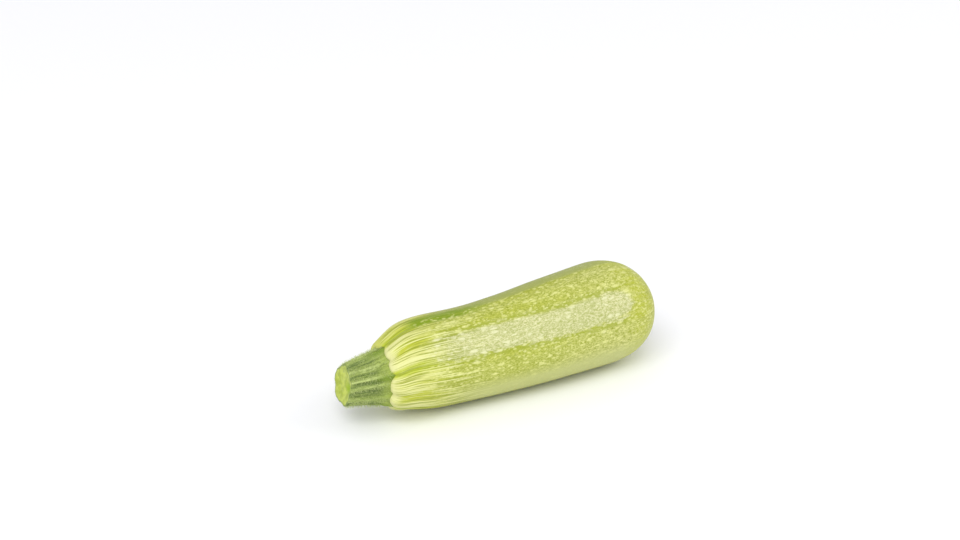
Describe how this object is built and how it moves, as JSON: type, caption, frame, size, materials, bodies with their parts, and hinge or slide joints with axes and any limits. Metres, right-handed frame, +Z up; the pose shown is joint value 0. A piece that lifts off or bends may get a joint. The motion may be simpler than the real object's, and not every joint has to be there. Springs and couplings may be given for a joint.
{
  "type": "courgette",
  "caption": "Pale green courgette, freshly picked, with a rounded blossom end, faint ribs and a ridged stub of cut stem, lying on its side.",
  "frame": {"origin": "on the surface that the courgette lies on, under the middle of its bounding box", "axes": "+X along the courgette from its cut stem to its blossom end, +Z up, -Y towards the side that bulges"},
  "size_m": [0.165, 0.0506, 0.0493],
  "materials": {
    "courgette_skin": "satin",
    "stem_skin": "matte"
  },
  "bodies": {
    "root": {"courgette_fruit": "courgette_skin", "courgette_stem": "stem_skin"}
  },
  "joints": []
}
